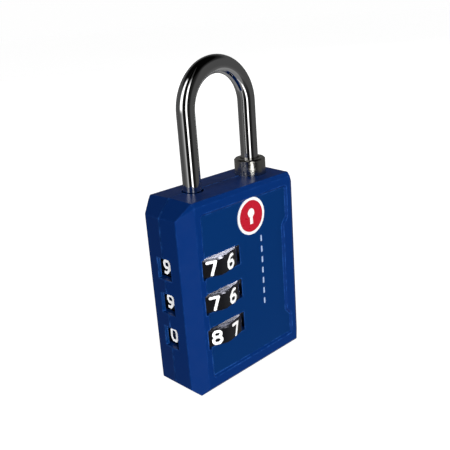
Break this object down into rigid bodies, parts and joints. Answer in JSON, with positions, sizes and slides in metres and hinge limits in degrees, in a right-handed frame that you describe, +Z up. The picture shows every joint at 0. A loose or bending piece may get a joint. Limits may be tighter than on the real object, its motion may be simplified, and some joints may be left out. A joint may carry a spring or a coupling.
{
  "type": "luggage padlock",
  "caption": "Combination luggage padlock in a faceted plastic body, with numbered dials, a tall round shackle, a locking collar at its toe and a key override below.",
  "frame": {"origin": "middle of the flat bottom face, half way between the front and back faces", "axes": "+Z up the shackle legs, -Y out of the front face with the badge, +X towards the collar side, so the side windows of the dials face -X"},
  "size_m": [0.034, 0.016, 0.0662],
  "materials": {
    "blue_abs": "moulded, satin",
    "badge_red": "printed",
    "badge_white": "printed",
    "mark_print": "printed",
    "chrome": "polished",
    "collar_nickel": "nickel plated, slightly worn",
    "dial_black": "moulded, satin",
    "numeral_white": "filled numerals",
    "hub_brass": "turned",
    "steel": "plain",
    "spring_steel": "drawn wire",
    "block_plastic": "moulded",
    "zinc": "die cast",
    "plug_nickel": "nickel plated"
  },
  "bodies": {
    "case": {"front_shell": "blue_abs", "back_shell": "blue_abs", "badge_disc": "badge_red", "badge_rim": "badge_white", "badge_symbol": "badge_white", "front_marks": "mark_print", "shell_pins": "steel", "spring_cup": "hub_brass", "heel_spring": "spring_steel", "heel_guide": "steel", "detent_block": "block_plastic", "detent_balls": "steel", "detent_springs": "spring_steel", "spring_seat": "steel", "collar_spring": "spring_steel", "plug_housing": "zinc", "key_escutcheon": "plug_nickel"},
    "shackle_body": {"shackle": "chrome", "shackle_clip": "steel"},
    "collar_body": {"locking_collar": "collar_nickel", "follower_pin": "steel"},
    "key_body": {"key_plug": "plug_nickel", "wafers": "hub_brass", "wafer_springs": "spring_steel", "plug_clip": "steel", "cam_drum": "steel"},
    "dial_top_body": {"dial_top": "dial_black", "numerals_top": "numeral_white", "hub_top": "hub_brass"},
    "dial_middle_body": {"dial_middle": "dial_black", "numerals_middle": "numeral_white", "hub_middle": "hub_brass"},
    "dial_bottom_body": {"dial_bottom": "dial_black", "numerals_bottom": "numeral_white", "hub_bottom": "hub_brass"}
  },
  "joints": [
    {"name": "shackle_lift", "type": "slide", "parent": "case", "child": "shackle_body", "axis": [0, 0, 1], "range_m": [0, 0.00745], "deforming": ["heel_spring"]},
    {"name": "dial_top_spin", "type": "hinge", "parent": "case", "child": "dial_top_body", "pos_m": [-0.0079, 0, 0.0271], "axis": [0, 0, 1], "continuous": true},
    {"name": "dial_middle_spin", "type": "hinge", "parent": "case", "child": "dial_middle_body", "pos_m": [-0.0079, 0, 0.01965], "axis": [0, 0, 1], "continuous": true},
    {"name": "dial_bottom_spin", "type": "hinge", "parent": "case", "child": "dial_bottom_body", "pos_m": [-0.0079, 0, 0.0122], "axis": [0, 0, 1], "continuous": true},
    {"name": "key_turn", "type": "hinge", "parent": "case", "child": "key_body", "pos_m": [0.00875, 0, 0.01], "axis": [0, 0, 1], "range_deg": [0, 90]},
    {"name": "collar_drop", "type": "slide", "parent": "case", "child": "collar_body", "axis": [0, 0, -1], "range_m": [0, 0.00335], "deforming": ["collar_spring"]}
  ],
  "couplings": [
    {"joint": "key_turn", "follows": "collar_drop", "rad_per_m": 468.89}
  ]
}
